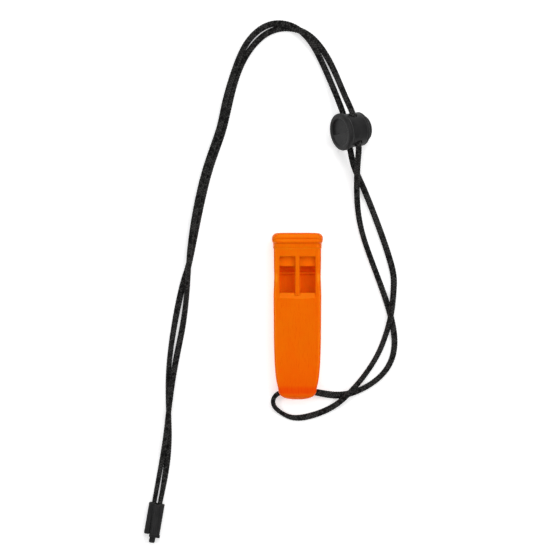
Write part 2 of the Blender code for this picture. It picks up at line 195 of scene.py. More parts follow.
def spread(tree, value, low, high, from_low=0.0, from_high=1.0):
    """value taken from one range to another, and kept inside it."""
    ranges = {"Value": value, "From Min": from_low, "From Max": from_high, "To Min": low, "To Max": high}
    return node(tree, "ShaderNodeMapRange", ranges).outputs[0]


def mixed(tree, factor, low, high):
    """A colour between low and high."""
    made = node(tree, "ShaderNodeMix", {"Factor": factor}, data_type="RGBA")
    for socket, value in ((made.inputs[6], low), (made.inputs[7], high)):
        if isinstance(value, bpy.types.NodeSocket):
            tree.links.new(value, socket)
        else:
            socket.default_value = (*value, 1)
    return made.outputs[2]


def noise(tree, where, size, detail=2.0, roughness=0.5):
    """Noise whose features are about size millimetres apart."""
    inputs = {"Vector": where, "Scale": 1 / (size * MM), "Detail": detail, "Roughness": roughness}
    return node(tree, "ShaderNodeTexNoise", inputs).outputs["Fac"]


def stretched(tree, where, scale):
    return node(tree, "ShaderNodeVectorMath", {0: where, 1: scale}, operation="MULTIPLY").outputs[0]


def material(name):
    made = bpy.data.materials.new(name)
    made.use_nodes = True
    tree = made.node_tree
    return made, tree, tree.nodes["Principled BSDF"]


def bump(tree, height, distance, strength, before=None):
    inputs = {"Height": height, "Distance": distance * MM, "Strength": strength}
    if before is not None:
        inputs["Normal"] = before
    return node(tree, "ShaderNodeBump", inputs).outputs[0]


def orange_plastic():
    """Satin moulded plastic: slow flow marks, a fine grain, light handling scratches, paler worn edges, a
    painted highlight on the waist's two edges, and painted shade towards the right side, the closed end and
    over the cord's hole.
    """
    made, tree, shader = material("orange_moulded_plastic")
    where = node(tree, "ShaderNodeTexCoord").outputs["Object"]
    worn = node(tree, "ShaderNodeAttribute", attribute_name="worn").outputs["Fac"]
    across, along, _ = node(tree, "ShaderNodeSeparateXYZ", {0: where}).outputs
    # painted highlight: paler patches on the waist's two edges
    from_waist = maths(tree, "ABSOLUTE", maths(tree, "SUBTRACT", along, WAIST_HIGHLIGHT_Y * MM))
    painted_waist_highlight = spread(tree, from_waist, 0.9, 0, 1 * MM, 3 * MM)
    at_edge = spread(tree, maths(tree, "ABSOLUTE", across), 0, 1, 8.2 * MM, 8.8 * MM)
    painted_waist_highlight = maths(tree, "MULTIPLY", painted_waist_highlight, at_edge)
    # from here worn carries both the edges' wear and the painted waist highlight
    worn = maths(tree, "MAXIMUM", worn, painted_waist_highlight)
    flow = noise(tree, stretched(tree, where, (1.6, 0.7, 1)), 11, 3)
    colour = mixed(tree, spread(tree, flow, 0, 1, 0.35, 0.65), (0.985, 0.148, 0.0004), (0.995, 0.17, 0.0006))
    # painted shade: the right side darker and redder than the left
    painted_side_shade = spread(tree, across, 0, 0.3, -9 * MM, 9 * MM)
    colour = mixed(tree, painted_side_shade, colour, (0.985, 0.12, 0.0004))
    # painted shade: darker and redder towards the closed end, and in a band over the cord's hole
    painted_end_shade = spread(tree, along, 0.35, 0, -28 * MM, -10 * MM)
    over_hole = maths(tree, "ABSOLUTE", maths(tree, "ADD", along, -HOLE_SHADE_Y * MM))
    end_and_hole_shade = maths(tree, "MAXIMUM", painted_end_shade, spread(tree, over_hole, 1, 0, 0.8 * MM, 3 * MM))
    colour = mixed(tree, end_and_hole_shade, colour, (0.96, 0.068, 0.0006))
    # paler on the worn edges, and in the painted highlight on the waist's edges
    colour = mixed(tree, spread(tree, worn, 0, 0.3), colour, (0.99, 0.34, 0.008))
    scratches = noise(tree, stretched(tree, where, (7, 0.6, 1)), 2.2, 4, 0.6)
    grain = noise(tree, where, 0.35, 2)
    rough = spread(tree, scratches, 0.27, 0.35, 0.4, 0.7)
    tree.links.new(colour, shader.inputs["Base Color"])
    tree.links.new(rough, shader.inputs["Roughness"])
    waves = bump(tree, flow, 0.25, 0.25)
    tree.links.new(bump(tree, grain, 0.02, 0.5, waves), shader.inputs["Normal"])
    shader.inputs["IOR"].default_value = 1.46
    shader.inputs["Specular IOR Level"].default_value = 0.5
    shader.inputs["Specular Tint"].default_value = (1.0, 0.7, 0.05, 1)
    shader.inputs["Subsurface Weight"].default_value = 0.35
    shader.inputs["Subsurface Radius"].default_value = (1.0, 0.15, 0.02)
    shader.inputs["Subsurface Scale"].default_value = 0.0018
    return made


def black_plastic():
    """Dull moulded plastic with a spark-eroded grain and edges rubbed a little paler."""
    made, tree, shader = material("black_moulded_plastic")
    where = node(tree, "ShaderNodeTexCoord").outputs["Object"]
    worn = node(tree, "ShaderNodeAttribute", attribute_name="worn").outputs["Fac"]
    cloud = noise(tree, where, 3.5, 4)
    colour = mixed(tree, spread(tree, cloud, 0, 1, 0.3, 0.7), (0.013, 0.013, 0.0134), (0.021, 0.021, 0.0214))
    colour = mixed(tree, spread(tree, worn, 0, 0.7), colour, (0.06, 0.06, 0.059))
    grain = noise(tree, where, 0.25, 3, 0.7)
    tree.links.new(colour, shader.inputs["Base Color"])
    tree.links.new(spread(tree, cloud, 0.36, 0.5, 0.3, 0.7), shader.inputs["Roughness"])
    tree.links.new(bump(tree, grain, 0.04, 0.6), shader.inputs["Normal"])
    shader.inputs["Specular IOR Level"].default_value = 0.15
    return made


def black_braid():
    """Braided polyester: strands that pass over and under each other, each a bundle of fine filaments, with
    painted shade in the grooves between them.
    """
    made, tree, shader = material("black_braided_cord")
    place = node(tree, "ShaderNodeAttribute", attribute_name="braid").outputs["Vector"]
    parts = node(tree, "ShaderNodeSeparateXYZ", {0: place})
    around = maths(tree, "MULTIPLY", parts.outputs[0], float(BRAID_CELLS))
    along = maths(tree, "DIVIDE", parts.outputs[1], BRAID_PITCH)
    right = maths(tree, "ADD", around, along)
    left = maths(tree, "SUBTRACT", around, along)
    rise = {}
    for name, value in (("right", right), ("left", left)):
        swing = maths(tree, "SINE", maths(tree, "MULTIPLY", value, math.pi))
        rise[name] = maths(tree, "ABSOLUTE", swing)
    cells = maths(tree, "ADD", maths(tree, "FLOOR", right), maths(tree, "FLOOR", left))
    odd = maths(tree, "FLOORED_MODULO", cells, 2.0)
    even = maths(tree, "SUBTRACT", 1.0, odd)
    on_top = [maths(tree, "MULTIPLY", odd, rise["right"]), maths(tree, "MULTIPLY", even, rise["left"])]
    crown = maths(tree, "ADD", *on_top)
    runs = [maths(tree, "MULTIPLY", odd, right), maths(tree, "MULTIPLY", even, left)]
    run = maths(tree, "ADD", *runs)
    filaments = maths(tree, "SINE", maths(tree, "MULTIPLY", run, math.tau * 7))
    height = maths(tree, "ADD", crown, maths(tree, "MULTIPLY", filaments, 0.12))
    where = node(tree, "ShaderNodeTexCoord").outputs["Object"]
    fluff = noise(tree, where, 0.5, 3)
    patches = noise(tree, where, 6, 2)
    # painted shade: darker in the grooves between strands and filaments, lighter on their crowns; fluff,
    # patches and each crossing's noise vary the tone at random
    shade = maths(tree, "MULTIPLY", spread(tree, height, 0.0, 1, 0.25, 1.0), spread(tree, fluff, 0.6, 1.4))
    shade = maths(tree, "MULTIPLY", shade, spread(tree, patches, 0.75, 1.25, 0.3, 0.7))
    crossing = {0: maths(tree, "FLOOR", right), 1: maths(tree, "FLOOR", left)}
    crossing = node(tree, "ShaderNodeCombineXYZ", crossing).outputs[0]
    each = node(tree, "ShaderNodeTexWhiteNoise", {"Vector": crossing}, noise_dimensions="2D").outputs["Value"]
    shade = maths(tree, "MULTIPLY", shade, spread(tree, each, 0.05, 1.7))
    colour = mixed(tree, shade, (0.0002, 0.0002, 0.0003), (0.046, 0.045, 0.0435))
    tree.links.new(colour, shader.inputs["Base Color"])
    tree.links.new(spread(tree, fluff, 0.6, 0.85), shader.inputs["Roughness"])
    tree.links.new(bump(tree, height, 0.12, 0.8), shader.inputs["Normal"])
    shader.inputs["Sheen Weight"].default_value = 0.015
    shader.inputs["Sheen Roughness"].default_value = 0.5
    shader.inputs["Specular IOR Level"].default_value = 0.1
    return made


def spring_steel():
    made, tree, shader = material("drawn_spring_steel")
    where = node(tree, "ShaderNodeTexCoord").outputs["Object"]
    drawn = noise(tree, where, 0.3, 3)
    colour = mixed(tree, drawn, (0.42, 0.42, 0.43), (0.62, 0.61, 0.60))
    tree.links.new(colour, shader.inputs["Base Color"])
    tree.links.new(spread(tree, drawn, 0.22, 0.4), shader.inputs["Roughness"])
    tree.links.new(bump(tree, drawn, 0.01, 0.4), shader.inputs["Normal"])
    shader.inputs["Metallic"].default_value = 1.0
    return made


def pale_floor():
    made, tree, shader = material("pale_floor")
    where = node(tree, "ShaderNodeTexCoord").outputs["Object"]
    paper = noise(tree, where, 30, 2)
    colour = mixed(tree, paper, (0.92, 0.92, 0.92), (0.94, 0.94, 0.94))
    tree.links.new(colour, shader.inputs["Base Color"])
    shader.inputs["Roughness"].default_value = 0.9
    shader.inputs["Specular IOR Level"].default_value = 0.0
    shader.inputs["Emission Color"].default_value = (1, 1, 1, 1)
    shader.inputs["Emission Strength"].default_value = 0.42
    return made


# ---------------------------------------------------------------- building blocks


def add_object(name, mesh, place=Matrix.Identity(4)):
    """An object from a bmesh in millimetres, with place applied to its mesh."""
    bmesh.ops.recalc_face_normals(mesh, faces=mesh.faces)
    mesh.transform(Matrix.Scale(MM, 4) @ place)
    data = bpy.data.meshes.new(name)
    mesh.to_mesh(data)
    mesh.free()
    made = bpy.data.objects.new(name, data)
    bpy.context.collection.objects.link(made)
    return made


def loft(name, sections, place=Matrix.Identity(4)):
    """A closed skin over sections, each a list of points."""
    mesh = bmesh.new()
    rings = [[mesh.verts.new(point) for point in section] for section in sections]
    for low, high in zip(rings, rings[1:]):
        for i in range(len(low)):
            j = (i + 1) % len(low)
            mesh.faces.new((low[i], low[j], high[j], high[i]))
    mesh.faces.new(rings[0])
    mesh.faces.new(rings[-1])
    return add_object(name, mesh, place)


def prism(name, outline, axis, low, high, place=Matrix.Identity(4)):
    """An outline of (u, v) points pushed along X, Y or Z. The outline's axes are the other two, in order."""
    spot = {
        "X": lambda u, v, w: (w, u, v),
        "Y": lambda u, v, w: (u, w, v),
        "Z": lambda u, v, w: (u, v, w),
    }[axis]
    return loft(name, [[spot(u, v, w) for u, v in outline] for w in (low, high)], place)


def box(name, low, high, place=Matrix.Identity(4)):
    outline = [(low[0], low[1]), (high[0], low[1]), (high[0], high[1]), (low[0], high[1])]
    return prism(name, outline, "Z", low[2], high[2], place)


def arc(centre, radius, start, end, steps):
    """Points on an arc, with its angles in degrees."""
    turns = [math.radians(start + (end - start) * i / steps) for i in range(steps + 1)]
    return [(centre[0] + radius * math.cos(t), centre[1] + radius * math.sin(t)) for t in turns]


def circle(centre, radius, steps=48):
    return arc(centre, radius, 0, 360 * (steps - 1) / steps, steps - 1)


def slot_outline(low, high, radius, steps=12):
    """A slot with round ends, longer along its second axis, between the centres low and high."""
    return arc(high, radius, 0, 180, steps) + arc(low, radius, 180, 360, steps)


def rounded_rectangle(low, high, radius, steps=CORNER_STEPS):
    """A rectangle with round corners, from its low and high corners."""
    corners = [
        ((high[0] - radius, high[1] - radius), 0),
        ((low[0] + radius, high[1] - radius), 90),
        ((low[0] + radius, low[1] + radius), 180),
        ((high[0] - radius, low[1] + radius), 270),
    ]
    return [p for centre, start in corners for p in arc(centre, radius, start, start + 90, steps)]


def turned(name, profile, steps, place):
    """Turns a profile of (radius, z) points about Z. It starts and ends on the axis."""
    mesh = bmesh.new()
    first = mesh.verts.new((0, 0, profile[0][1]))
    last = mesh.verts.new((0, 0, profile[-1][1]))
    rings = []
    for radius, z in profile[1:-1]:
        rings.append([mesh.verts.new((x, y, z)) for x, y in circle((0, 0), radius, steps)])
    for low, high in zip(rings, rings[1:]):
        for i in range(steps):
            j = (i + 1) % steps
            mesh.faces.new((low[i], low[j], high[j], high[i]))
    for i in range(steps):
        j = (i + 1) % steps
        mesh.faces.new((first, rings[0][i], rings[0][j]))
        mesh.faces.new((last, rings[-1][j], rings[-1][i]))
    return add_object(name, mesh, place)


def mark_worn_edges(data, reach):
    """Stores how strongly each point stands out, as the edges that hands rub do, from 0 to 1."""
    count = len(data.vertices)
    points = np.empty(count * 3)
    normals = np.empty(count * 3)
    data.vertices.foreach_get("co", points)
    data.vertices.foreach_get("normal", normals)
    points, normals = points.reshape(-1, 3), normals.reshape(-1, 3)
    ends = np.empty(len(data.edges) * 2, int)
    data.edges.foreach_get("vertices", ends)
    ends = ends.reshape(-1, 2)
    bend = np.zeros(count)
    touched = np.zeros(count)
    for here, there in ((0, 1), (1, 0)):
        a, b = ends[:, here], ends[:, there]
        away = points[b] - points[a]
        length = np.linalg.norm(away, axis=1)
        fall = -np.einsum("ij,ij->i", away, normals[a]) / np.maximum(length, 1e-9) ** 2
        np.add.at(bend, a, fall)
        np.add.at(touched, a, 1)
    bend /= np.maximum(touched, 1)
    worn = np.clip(bend * reach * MM, 0, 1)
    data.attributes.new("worn", "FLOAT", "POINT").data.foreach_set("value", worn.astype(np.float32))


def moulded(name, solid, plastic, voxel, rounding, keep, cutters=(), additions=()):
    """The solid with its additions and without its cutters, with every edge rounded as a mould leaves it."""
    for other, operation in [(o, "UNION") for o in additions] + [(o, "DIFFERENCE") for o in cutters]:
        step = solid.modifiers.new(other.name, "BOOLEAN")
        step.operation = operation
        step.solver = "EXACT"
        step.object = other
    remesh = solid.modifiers.new("remesh", "REMESH")
    remesh.mode = "VOXEL"
    remesh.voxel_size = voxel * MM
    soften = solid.modifiers.new("soften", "SMOOTH")
    soften.factor = 0.5
    soften.iterations = rounding
    thin = solid.modifiers.new("thin", "DECIMATE")
    thin.ratio = keep
    graph = bpy.context.evaluated_depsgraph_get()
    data = bpy.data.meshes.new_from_object(solid.evaluated_get(graph))
    data.name = name
    for used in [solid, *cutters, *additions]:
        bpy.data.objects.remove(used, do_unlink=True)
    made = bpy.data.objects.new(name, data)
    bpy.context.collection.objects.link(made)
    data.materials.clear()
    data.materials.append(plastic)
    data.shade_smooth()
    mark_worn_edges(data, 0.5)
    return made


# ---------------------------------------------------------------- cord


def lock_pass(side, direction):
    """The cord's straight stretch through a hole of the lock. direction is 1 away from the arc."""
    place = lock_matrix()
    return [
        tuple(place @ Vector((direction * along, side * LOCK_HOLE_OFFSET, 0)))
        for along in (-7.0, -3.5, 3.5, 7.0)
    ]


def clip_pass(side):
    """A cord end in the clip, from inside to the clip's mouth."""
    place = clip_matrix()
    ends = (CLIP_CORD_END_Y, CLIP_HALF_LENGTH)
    return [tuple(place @ Vector((side * CLIP_CORD_X, y, CLIP_CORD_Z))) for y in ends]


def cord_route():
    """The cord's own points: from the clip over the arc and through the lock's lower hole to the whistle,
    through the whistle from left to right, and back through the upper hole."""
    out = clip_pass(-1)
    out += [(-58.9, -70.8, 1.2), (-55.5, -51.0, 3.4), (-52.8, -29.1, 3.3), (-50.2, -13.9, 1.1)]
    out += [(-48.1, -3.0, 1.1), (-46.1, 14.8, 3.4), (-45.1, 29.5, 3.5), (-39.2, 59.9, 2.9)]
    out += [(-32.9, 79.1, 3.0), (-30.7, 89.2, 3.1), (-26.1, 104.6, 3.2), (-19.7, 117.1, 1.2)]
    out += [(-10.7, 123.0, 1.6), (-1.4, 121.6, 3.9), (4.9, 116.3, 3.5), (11.5, 104.4, 2.0)]
    out += lock_pass(-1, 1)
    out += [(23.7, 63.3, 4.6), (27.4, 54.9, 2.0), (39.7, 21.1, 1.1), (40.6, 11.8, 1.4)]
    out += [(39.4, 0.7, 3.9), (36.9, -8.9, 1.4), (33.5, -16.9, 1.1), (27.5, -26.0, 1.5)]
    out += [(21.7, -32.5, 3.9), (14.0, -38.7, 1.3), (-0.1, -42.9, 1.1), (-6.0, -41.2, 1.2)]
    out += [(-9.4, -38.4, 2.1), (-10.2, -35.6, 3.2), (-8.8, -33.1, 4.1), (-5.8, BORE_Y, BORE_Z)]
    back = [(-2.0, BORE_Y, BORE_Z), (5.0, BORE_Y, BORE_Z), (8.4, -32.1, BORE_Z - 0.1), (16.7, -33.3, 1.5)]
    back += [(27.3, -30.7, 1.1), (37.4, -22.6, 1.1), (40.9, -9.3, 1.1), (34.1, 15.8, 1.1)]
    back += [(27.1, 36.1, 1.1), (25.1, 50.6, 2.6), (25.3, 64.5, 9.2)]
    back += lock_pass(1, -1)
    back += [(19.9, 92.4, 9.3), (13.9, 106.5, 2.9), (6.0, 117.4, 1.1), (-2.2, 121.1, 1.1)]
    back += [(-12.4, 119.3, 1.1), (-24.1, 104.6, 1.1), (-31.0, 79.1, 1.1), (-37.4, 59.5, 1.1)]
    back += [(-45.7, 21.9, 1.1), (-47.8, 14.8, 1.1), (-54.1, -21.5, 1.1), (-54.1, -51.0, 1.1)]
    back += [(-56.3, -70.8, 1.2)] + clip_pass(1)[::-1]
    return out + back


def smooth_curve(points, count):
    """A natural cubic spline through points, read at count places."""
    points = np.array(points, float)
    steps = np.linalg.norm(np.diff(points, axis=0), axis=1) ** 0.5
    knots = np.concatenate(([0], np.cumsum(steps)))
    size = len(points)
    matrix = np.eye(size)
    right = np.zeros((size, 3))
    for i in range(1, size - 1):
        matrix[i, i - 1 : i + 2] = steps[i - 1], 2 * (steps[i - 1] + steps[i]), steps[i]
        before = (points[i] - points[i - 1]) / steps[i - 1]
        after = (points[i + 1] - points[i]) / steps[i]
        right[i] = 6 * (after - before)
    bends = np.linalg.solve(matrix, right)
    places = np.linspace(0, knots[-1], count)
    i = np.clip(np.searchsorted(knots, places, side="right") - 1, 0, size - 2)
    width = steps[i][:, None]
    left = (knots[i + 1] - places)[:, None] / width
    rest = 1 - left
    curved = ((left**3 - left) * bends[i] + (rest**3 - rest) * bends[i + 1]) * width**2 / 6
    return left * points[i] + rest * points[i + 1] + curved


def evenly(line, step):
    """Points along a fine line about step apart, and how far along each one is."""
    run = np.concatenate(([0], np.cumsum(np.linalg.norm(np.diff(line, axis=0), axis=1))))
    wanted = np.linspace(0, run[-1], round(run[-1] / step) + 1)
    return np.stack([np.interp(wanted, run, line[:, k]) for k in range(3)], axis=1), wanted


def braid_height(around, along):
    """How proud the braid's surface stands, from 0 to 1. around is in turns and along in millimetres."""
    right = around * BRAID_CELLS + along / BRAID_PITCH
    left = around * BRAID_CELLS - along / BRAID_PITCH
    odd = np.mod(np.floor(right + 1e-6) + np.floor(left + 1e-6), 2)
    return np.sqrt(np.abs(np.where(odd > 0.5, np.sin(right * math.pi), np.sin(left * math.pi))))


def braided_cord(braid):
    """One length of soft cord. Its section is a little flat, and turns slowly along the cord."""
    line = smooth_curve(cord_route(), CORD_CURVE_POINTS)
    line[:, 2] = np.maximum(line[:, 2], CORD_DIAMETER / 2)
    centres, run = evenly(line, CORD_RING_STEP)
    ahead = np.gradient(centres, axis=0)
    ahead /= np.linalg.norm(ahead, axis=1)[:, None]
    side = np.cross(ahead, (0, 0, 1.0))
    side /= np.linalg.norm(side, axis=1)[:, None]
    up = np.cross(side, ahead)
    turns = np.arange(CORD_SIDES) / CORD_SIDES
    around = turns[None, :] * math.tau
    loop = run[np.argmin(np.linalg.norm(centres - np.array(LEFT_LOOP), axis=1))]
    lean = 0.7 * np.sin(run / 23) + 0.45 * np.sin(run / 37 + 1.3)
    for middle, reach in ((0, 26), (loop, 9), (run[-1], 26)):
        on_edge = np.exp(-(((run - middle) / reach) ** 2))
        lean = lean * (1 - on_edge) + math.pi / 2 * on_edge
    flat = 0.17 + 0.04 * np.sin(run / 17.7 + 2.1)
    out = run[np.argmin(np.linalg.norm(centres - np.array(RIGHT_MOUTH), axis=1))]
    laid_flat = np.exp(-(((run - out) / 11) ** 2))
    lean = lean * (1 - laid_flat)
    pulled = np.exp(-(((run - loop) / 9) ** 2))
    flat = flat * (1 - laid_flat) * (1 - pulled) + 0.25 * laid_flat + 0.08 * pulled
    plain = CORD_DIAMETER / 2 - 0.02 + (0.08 * laid_flat - 0.1 * pulled)[:, None]
    radius = plain * (1 + flat[:, None] * np.cos(2 * (around - lean[:, None])))
    radius = radius + BRAID_HEIGHT * (braid_height(turns[None, :], run[:, None]) - 0.5)
    points = centres[:, None, :] + radius[..., None] * (
        np.cos(around)[..., None] * side[:, None, :] + np.sin(around)[..., None] * up[:, None, :]
    )
    points[..., 2] = np.maximum(points[..., 2], 0.02)
    rings = len(centres)
    faces = []
    places = []
    for i in range(rings - 1):
        for j in range(CORD_SIDES):
            k = (j + 1) % CORD_SIDES
            low, high = i * CORD_SIDES, (i + 1) * CORD_SIDES
            faces.append((low + j, low + k, high + k, high + j))
            start, end = j / CORD_SIDES, (j + 1) / CORD_SIDES
            places += [(start, run[i]), (end, run[i]), (end, run[i + 1]), (start, run[i + 1])]
    last = (rings - 1) * CORD_SIDES
    faces.append(tuple(range(CORD_SIDES))[::-1])
    faces.append(tuple(range(last, last + CORD_SIDES)))
    places += [(0, 0)] * CORD_SIDES * 2
    data = bpy.data.meshes.new("braided_cord")
    data.from_pydata((points.reshape(-1, 3) * MM).tolist(), [], faces)
    stored = data.attributes.new("braid", "FLOAT_VECTOR", "CORNER")
    stored.data.foreach_set("vector", np.column_stack((places, np.zeros(len(places)))).ravel())
    data.materials.append(braid)
    data.shade_smooth()
    made = bpy.data.objects.new("braided_cord", data)
    bpy.context.collection.objects.link(made)
    return made, centres[::6] * MM


# ---------------------------------------------------------------- whistle


def side_at(y):
    """Half of the body's width."""
    if y < NOSE_Y:
        reach = (NOSE_Y - y) / (NOSE_Y - END_Y)
        return NOSE_HALF_WIDTH * (1 - reach**NOSE_POWER) ** (1 / NOSE_POWER)
    stations = [(NOSE_Y, NOSE_HALF_WIDTH), (-27.6, 8.8), (-25.1, 9.15), (-20, 9.6), (-10, 9.92)]
    stations += [(9, 10.06), (12, 9.97), (16.5, 9.78), (21, 9.92), (BODY_TOP_Y, 9.95)]
    return float(np.interp(y, *zip(*stations)))


def body_section(y):
    """The body's outline across, with its edges rounded and its front face falling gently to both sides."""
    dip = min(1, max(0, (TAPER_Y - y) / (TAPER_Y - END_Y)))
    front = BODY_DEPTH - TAPER_DROP * dip * dip
    back = 0.0
    round_y = END_Y + END_RADIUS
    if y < round_y:
        inset = END_RADIUS - math.sqrt(max(0, END_RADIUS**2 - (round_y - y) ** 2))
        front, back = front - inset, back + inset
    half = max(side_at(y), 2.4)
    scoop = math.exp(-(((y - WAIST_Y) / WAIST_REACH) ** 4))
    radius = min(EDGE_RADIUS - WAIST_TIGHTENING * scoop, half * 0.9, (front - back) * 0.45)
    outline = rounded_rectangle((-half, back), (half, front), radius)
    crown = arc((half - radius, front - radius), radius, 0, 90, CORNER_STEPS)
    edge = min(WAIST_FACET_X, (half - radius) * 0.97)
    crown += [(edge, front), (0, front), (-edge, front)]
    crown += arc((radius - half, front - radius), radius, 90, 180, CORNER_STEPS)
    outline = crown + outline[2 * (CORNER_STEPS + 1) :]
    ridge = RIDGE_FALL if y > TAPER_Y else RIDGE_FALL * (1 - dip)
    section = []
    for x, z in outline:
        fall = ridge * abs(x) / half + scoop * WAIST_FACET_SLOPE * max(0, abs(x) - WAIST_FACET_X)
        section.append((x, y, z - fall * (z > front / 2)))
    return section


def whistle_body(orange):
    nose = [END_Y + (NOSE_Y - END_Y) * (1 - math.cos(math.pi / 2 * i / 16)) for i in range(17)]
    straight = list(np.linspace(NOSE_Y, BODY_TOP_Y, 100)[1:])
    body = loft("body_shell", [body_section(y) for y in nose + straight])
    above = BODY_DEPTH + 2
    cutters = []
    for side, name in ((-1, "left"), (1, "right")):
        low_x, high_x = sorted((side * HALF_RIB, side * CHAMBER_X))
        end, top = CHAMBER_ENDS_Y[side], BODY_TOP_Y + 2
        space = [(end, WINDWAY_TOP_Z), (end, WALL), (17.2, WALL), (17.7, WALL + SILL), (18.6, WALL + SILL)]
        space += [(19.1, WALL), (top, WALL), (top, WINDWAY_TOP_Z)]
        cutters.append(prism(f"{name}_chamber", space, "X", low_x, high_x))
        low_x, high_x = sorted((side * HALF_RIB, side * WINDOW_X))
        window_low = (low_x, WINDOW_LOW_Y, WINDWAY_TOP_Z - 1)
        cutters.append(box(f"{name}_window", window_low, (high_x, WINDOW_HIGH_Y, above)))
        slope = [(RAMP_FOOT_Y, BODY_DEPTH), (WINDOW_LOW_Y + 0.2, RAMP_LIP_Z)]
        slope += [(WINDOW_LOW_Y + 0.2, above), (RAMP_FOOT_Y, above)]
        cutters.append(prism(f"{name}_ramp", slope, "X", low_x, high_x))
    half_way = (RAMP_FOOT_Y + WINDOW_LOW_Y) / 2
    notch = [(RAMP_FOOT_Y, BODY_DEPTH), (half_way, (BODY_DEPTH + RAMP_LIP_Z) / 2)]
    notch += [(half_way, above), (RAMP_FOOT_Y, above)]
    cutters.append(prism("rib_notch", notch, "X", -HALF_RIB - 0.1, HALF_RIB + 0.1))
    flare = [(-12, FLARE_RADIUS), (-8.4, FLARE_RADIUS), (-5.2, BORE_RADIUS)]
    flare += [(-x, radius) for x, radius in flare[::-1]]
    rings = [[(x, y, z) for y, z in circle((BORE_Y, BORE_Z), radius)] for x, radius in flare]
    cutters.append(loft("cord_hole", rings))
    return moulded("whistle_shell", body, orange, 0.17, 3, 0.16, cutters)


def mouthpiece(orange):
    # (y, how far in from the lip's widest at the sides, and at the front) from the tip down to the step
    lip = []
    for step in range(10):
        turn = math.radians(90 - 10 * step)
        rounded = 1 - math.cos(turn)
        y = MOUTH_Y - LIP_CORNER * (1 - math.sin(turn))
        lip.append((y, LIP_CORNER * rounded, 1.1 * rounded))
    lip += [(32.5, 0, 0.3), (32.2, 0, 0.3), (31.7, 0.05, 0.05), (31.0, 0.3, 0.02)]
    lip += [(30.75, 0.42, 0.3), (STEP_HIGH_Y, 0.55, 0.62), (STEP_LOW_Y + 0.3, 0.55, 0.7)]
    lip += [(BODY_TOP_Y + 0.15, 0.5, 0.73), (BODY_TOP_Y - 0.2, 0.62, 0.75)]
    sections = []
    for y, side_inset, front_inset in lip:
        half = LIP_HALF_WIDTH - side_inset
        back = max(0, front_inset - 0.5)
        outline = rounded_rectangle((-half, back), (half, LIP_DEPTH - front_inset), LIP_CORNER)
        ridge = RIDGE_FALL if y < STEP_HIGH_Y + 0.1 else 0
        sections.append([(x, y, z - ridge * abs(x) / half * (z > LIP_DEPTH / 2)) for x, z in outline])
    piece = loft("lip", sections)
    blocks = []
    cutters = []
    for side, name in ((-1, "left"), (1, "right")):
        low_x, high_x = sorted((side * (HALF_RIB + FIT), side * (CHAMBER_X - FIT)))
        block_low = (low_x, BLOCK_LOW_Y, WALL + FIT)
        blocks.append(box(f"{name}_block", block_low, (high_x, STEP_HIGH_Y, BLOCK_TOP_Z)))
        slot_low = (low_x, BODY_TOP_Y - 2, BLOCK_TOP_Z)
        cutters.append(box(f"{name}_windway", slot_low, (high_x, MOUTH_Y + 2, WINDWAY_TOP_Z)))
    funnel = [(MOUTH_Y + 1, 9.2), (MOUTH_Y - 2.6, WINDWAY_TOP_Z), (MOUTH_Y - 2.6, BLOCK_TOP_Z)]
    funnel += [(MOUTH_Y + 1, 6.1)]
    cutters.append(prism("mouth_funnel", funnel, "X", -CHAMBER_X + GAP, CHAMBER_X - GAP))
    return moulded("whistle_mouthpiece", piece, orange, 0.15, 2, 0.2, cutters, blocks)


# ---------------------------------------------------------------- cord lock


def lock_housing(dark):
    """A short barrel with a flanged, closed end. The flange has a sunken face with a shallow step."""
    place = lock_matrix()
    flange, barrel = LOCK_FLANGE_RADIUS, LOCK_BARREL_RADIUS
    profile = [(0, LOCK_FACE_Z - 0.3), (5.7, LOCK_FACE_Z - 0.3), (5.95, LOCK_FACE_Z - 0.2)]
    profile += [(6.15, LOCK_FACE_Z)]
    profile += [(r, z) for r, z in arc((flange - 0.75, LOCK_FACE_Z - 0.75), 0.75, 90, 0, 8)]
    profile += [(flange, 4.1), (flange - 0.25, 3.8), (barrel, 3.5)]
    profile += [(barrel - 0.02, LOCK_MOUTH_Z + 1.5), (barrel - 0.2, LOCK_MOUTH_Z + 1.3)]
    profile += [(barrel - 0.18, LOCK_MOUTH_Z + 1.0), (barrel, LOCK_MOUTH_Z + 0.8)]
    profile += [(barrel - 0.08, LOCK_MOUTH_Z + 0.3), (barrel - 0.5, LOCK_MOUTH_Z)]
    profile += [(LOCK_BORE_RADIUS, LOCK_MOUTH_Z), (LOCK_BORE_RADIUS, LOCK_FLOOR_Z), (0, LOCK_FLOOR_Z)]
    housing = turned("lock_shell", profile, 128, place)
    cutters = []
    for side, name in ((-1, "lower"), (1, "upper")):
        ring = circle((side * LOCK_HOLE_OFFSET, 0), LOCK_HOLE_RADIUS)
        cutters.append(prism(f"{name}_hole", ring, "X", -12, 12, place))
    step = [p for p in circle((0, 0), 5.8, 64) if p[0] < 0.6]
    cutters.append(prism("face_step", step, "Z", LOCK_FACE_Z - 1.0, LOCK_FACE_Z + 1, place))
    outer = arc((0, 0), 5.8, 78, 160, 16)
    inner = [(x, 2 + (y - 2) * 0.5) for x, y in outer[::-1]]
    cutters.append(prism("face_hollow", outer + inner, "Z", LOCK_FACE_Z - 1.4, LOCK_FACE_Z + 1, place))
    return moulded("lock_barrel", housing, dark, 0.13, 3, 0.25, cutters)


